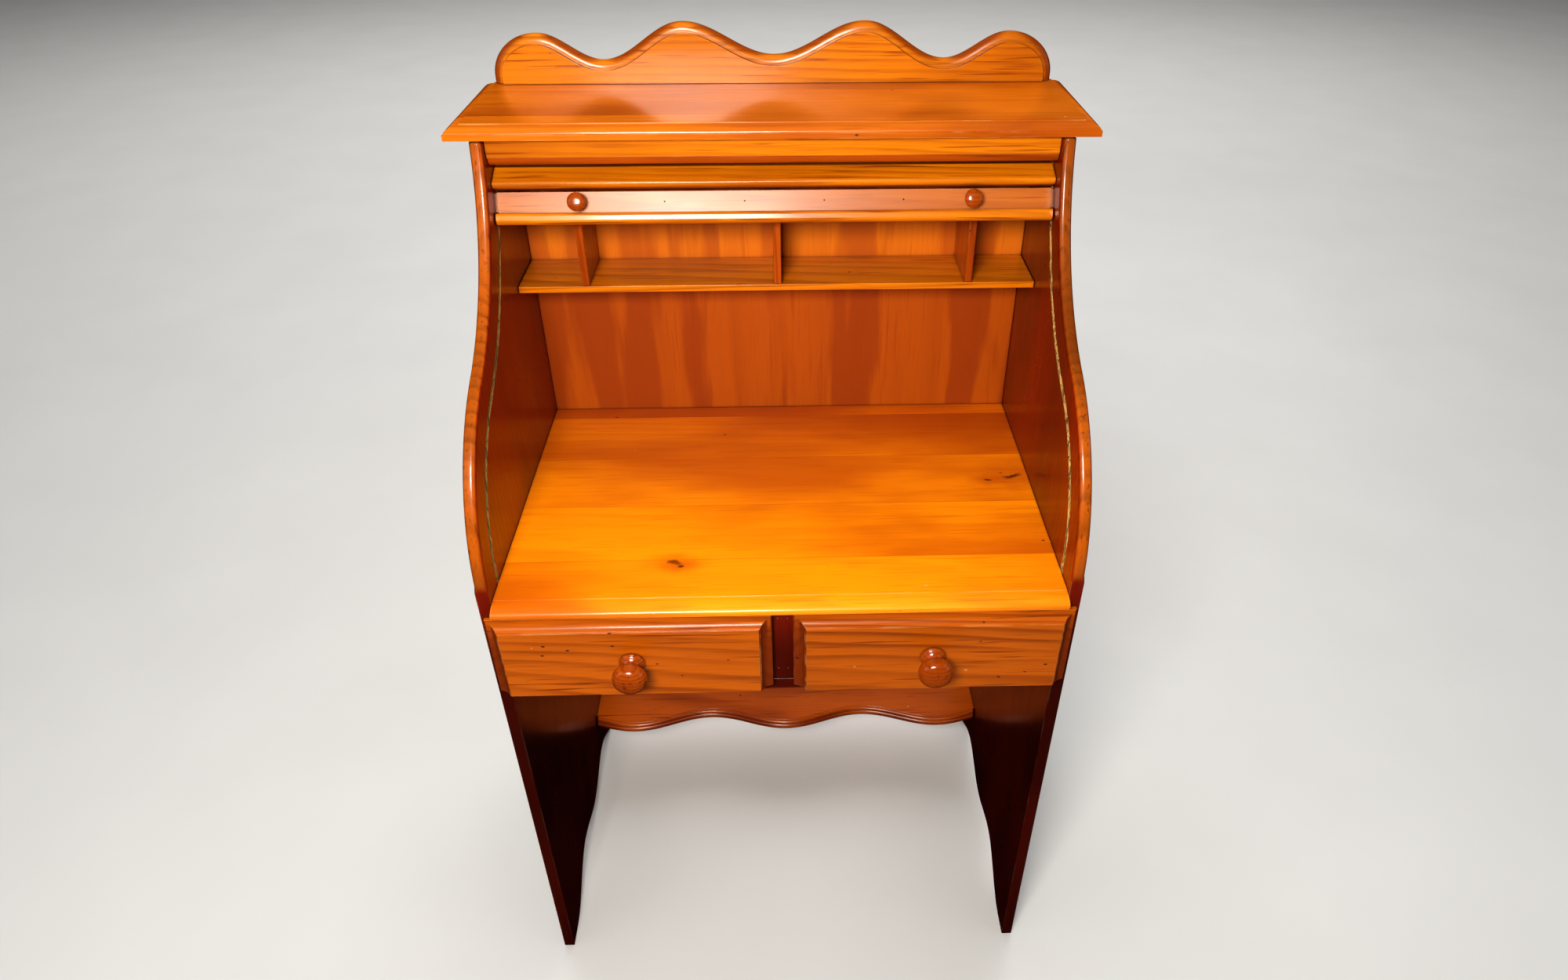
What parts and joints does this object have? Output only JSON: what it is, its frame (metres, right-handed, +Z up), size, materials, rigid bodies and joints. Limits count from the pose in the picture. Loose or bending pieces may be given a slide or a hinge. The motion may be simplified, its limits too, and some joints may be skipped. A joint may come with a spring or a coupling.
{
  "type": "roll top desk",
  "caption": "Pine roll top desk with S-shaped side panels, a slatted tambour, pigeonholes, two drawers, a scrolled gallery and a waved lower shelf.",
  "frame": {"origin": "middle of the desk's whole width and depth, knobs included, on the floor", "axes": "+X to the right of someone facing the desk, front towards -Y, +Z up"},
  "size_m": [0.818, 0.594, 1.3501],
  "materials": {
    "varnished_pine": "glossy honey varnish on pine",
    "stained_pine": "glossy red-brown stained pine",
    "stained_plywood": "satin stained plywood",
    "bare_pine": "bare planed pine",
    "knob_wood": "turned and varnished knob wood",
    "screw_steel": "zinc-plated screw steel"
  },
  "bodies": {
    "carcass": {"centre_muntin": "stained_pine", "divider_centre": "varnished_pine", "divider_left": "varnished_pine", "divider_right": "varnished_pine", "false_back": "stained_plywood", "frieze_bead": "varnished_pine", "frieze_rail": "varnished_pine", "front_rail": "stained_pine", "gallery_board": "varnished_pine", "lower_shelf": "varnished_pine", "outer_back": "stained_plywood", "pigeonhole_shelf": "varnished_pine", "rear_rail": "bare_pine", "runner_centre": "bare_pine", "runner_left": "bare_pine", "runner_right": "bare_pine", "side_panel_left": "stained_pine", "side_panel_right": "stained_pine", "top_board": "varnished_pine", "writing_surface": "varnished_pine"},
    "drawer_left": {"drawer_left_back": "bare_pine", "drawer_left_bottom": "stained_plywood", "drawer_left_front": "varnished_pine", "drawer_left_knob": "knob_wood", "drawer_left_knob_screw": "screw_steel", "drawer_left_side_inner": "bare_pine", "drawer_left_side_outer": "bare_pine"},
    "drawer_right": {"drawer_right_back": "bare_pine", "drawer_right_bottom": "stained_plywood", "drawer_right_front": "varnished_pine", "drawer_right_knob": "knob_wood", "drawer_right_knob_screw": "screw_steel", "drawer_right_side_inner": "bare_pine", "drawer_right_side_outer": "bare_pine"},
    "tambour_rail": {"tambour_knob_left": "knob_wood", "tambour_knob_right": "knob_wood", "tambour_knob_screw_left": "screw_steel", "tambour_knob_screw_right": "screw_steel", "tambour_lead_rail": "varnished_pine", "tambour_lip": "varnished_pine"},
    "slat_01": {"tambour_hood": "varnished_pine"},
    "slat_02": {"tambour_slat_02": "varnished_pine"},
    "slat_03": {"tambour_slat_03": "varnished_pine"},
    "slat_04": {"tambour_slat_04": "varnished_pine"},
    "slat_05": {"tambour_slat_05": "varnished_pine"},
    "slat_06": {"tambour_slat_06": "varnished_pine"},
    "slat_07": {"tambour_slat_07": "varnished_pine"},
    "slat_08": {"tambour_slat_08": "varnished_pine"},
    "slat_09": {"tambour_slat_09": "varnished_pine"},
    "slat_10": {"tambour_slat_10": "varnished_pine"},
    "slat_11": {"tambour_slat_11": "varnished_pine"},
    "slat_12": {"tambour_slat_12": "varnished_pine"},
    "slat_13": {"tambour_slat_13": "varnished_pine"},
    "slat_14": {"tambour_slat_14": "varnished_pine"},
    "slat_15": {"tambour_slat_15": "varnished_pine"},
    "slat_16": {"tambour_slat_16": "varnished_pine"}
  },
  "joints": [
    {"name": "drawer_left_slide", "type": "slide", "parent": "carcass", "child": "drawer_left", "axis": [0, -1, 0], "range_m": [0, 0.28]},
    {"name": "drawer_right_slide", "type": "slide", "parent": "carcass", "child": "drawer_right", "axis": [0, -1, 0], "range_m": [0, 0.28]},
    {"name": "tambour_roll", "type": "hinge", "parent": "carcass", "child": "tambour_rail", "pos_m": [0, -0.22528, 1.30281], "axis": [-1, 0, 0], "range_deg": [0, 30.9]},
    {"name": "slat_01_roll", "type": "hinge", "parent": "carcass", "child": "slat_01", "pos_m": [0, -0.47083, 1.46951], "axis": [-1, 0, 0], "range_deg": [0, 16.92]},
    {"name": "slat_02_roll", "type": "hinge", "parent": "carcass", "child": "slat_02", "pos_m": [0, 0.89921, 0.61112], "axis": [1, 0, 0], "range_deg": [0, 11.25]},
    {"name": "slat_03_roll", "type": "hinge", "parent": "carcass", "child": "slat_03", "pos_m": [0, 0.31868, 1.00103], "axis": [1, 0, 0], "range_deg": [0, 39.32]},
    {"name": "slat_04_roll", "type": "hinge", "parent": "carcass", "child": "slat_04", "pos_m": [0, 0.22834, 1.07717], "axis": [1, 0, 0], "range_deg": [0, 67.39]},
    {"name": "slat_05_roll", "type": "hinge", "parent": "carcass", "child": "slat_05", "pos_m": [0, 0.19696, 1.11596], "axis": [1, 0, 0], "range_deg": [0, 95.46]},
    {"name": "slat_06_roll", "type": "hinge", "parent": "carcass", "child": "slat_06", "pos_m": [0, 0.18576, 1.14259], "axis": [1, 0, 0], "range_deg": [0, 123.53]},
    {"name": "slat_07_roll", "type": "hinge", "parent": "carcass", "child": "slat_07", "pos_m": [0, 0.18441, 1.15363], "axis": [1, 0, 0], "range_deg": [0, 137.56]},
    {"name": "slat_08_roll", "type": "hinge", "parent": "carcass", "child": "slat_08", "pos_m": [0, 0.18014, 1.14532], "axis": [1, 0, 0], "range_deg": [0, 125.66]},
    {"name": "slat_09_roll", "type": "hinge", "parent": "carcass", "child": "slat_09", "pos_m": [0, 0.16497, 1.12932], "axis": [1, 0, 0], "range_deg": [0, 102.75]},
    {"name": "slat_10_roll", "type": "hinge", "parent": "carcass", "child": "slat_10", "pos_m": [0, 0.13618, 1.11332], "axis": [1, 0, 0], "range_deg": [0, 79.83]},
    {"name": "slat_11_roll", "type": "hinge", "parent": "carcass", "child": "slat_11", "pos_m": [0, 0.0804, 1.09732], "axis": [1, 0, 0], "range_deg": [0, 56.91]},
    {"name": "slat_12_roll", "type": "hinge", "parent": "carcass", "child": "slat_12", "pos_m": [0, -0.05253, 1.08132], "axis": [1, 0, 0], "range_deg": [0, 33.99]},
    {"name": "slat_13_roll", "type": "hinge", "parent": "carcass", "child": "slat_13", "pos_m": [0, -0.73078, 1.06532], "axis": [1, 0, 0], "range_deg": [0, 11.07]},
    {"name": "slat_14_roll", "type": "slide", "parent": "carcass", "child": "slat_14", "axis": [0, 0, 1], "range_m": [0, 0.1925]},
    {"name": "slat_15_roll", "type": "slide", "parent": "carcass", "child": "slat_15", "axis": [0, 0, 1], "range_m": [0, 0.1925]},
    {"name": "slat_16_roll", "type": "slide", "parent": "carcass", "child": "slat_16", "axis": [0, 0, 1], "range_m": [0, 0.1925]}
  ],
  "couplings": [
    {"joint": "slat_01_roll", "follows": "tambour_roll", "ratio": 0.54583},
    {"joint": "slat_02_roll", "follows": "tambour_roll", "ratio": 0.3625},
    {"joint": "slat_03_roll", "follows": "tambour_roll", "ratio": 1.2708},
    {"joint": "slat_04_roll", "follows": "tambour_roll", "ratio": 2.1792},
    {"joint": "slat_05_roll", "follows": "tambour_roll", "ratio": 3.0875},
    {"joint": "slat_06_roll", "follows": "tambour_roll", "ratio": 3.9958},
    {"joint": "slat_07_roll", "follows": "tambour_roll", "ratio": 4.45},
    {"joint": "slat_08_roll", "follows": "tambour_roll", "ratio": 4.065},
    {"joint": "slat_09_roll", "follows": "tambour_roll", "ratio": 3.3234},
    {"joint": "slat_10_roll", "follows": "tambour_roll", "ratio": 2.5817},
    {"joint": "slat_11_roll", "follows": "tambour_roll", "ratio": 1.84},
    {"joint": "slat_12_roll", "follows": "tambour_roll", "ratio": 1.0984},
    {"joint": "slat_13_roll", "follows": "tambour_roll", "ratio": 0.35671},
    {"joint": "slat_14_roll", "follows": "tambour_roll", "m_per_rad": 0.356},
    {"joint": "slat_15_roll", "follows": "tambour_roll", "m_per_rad": 0.356},
    {"joint": "slat_16_roll", "follows": "tambour_roll", "m_per_rad": 0.356}
  ]
}
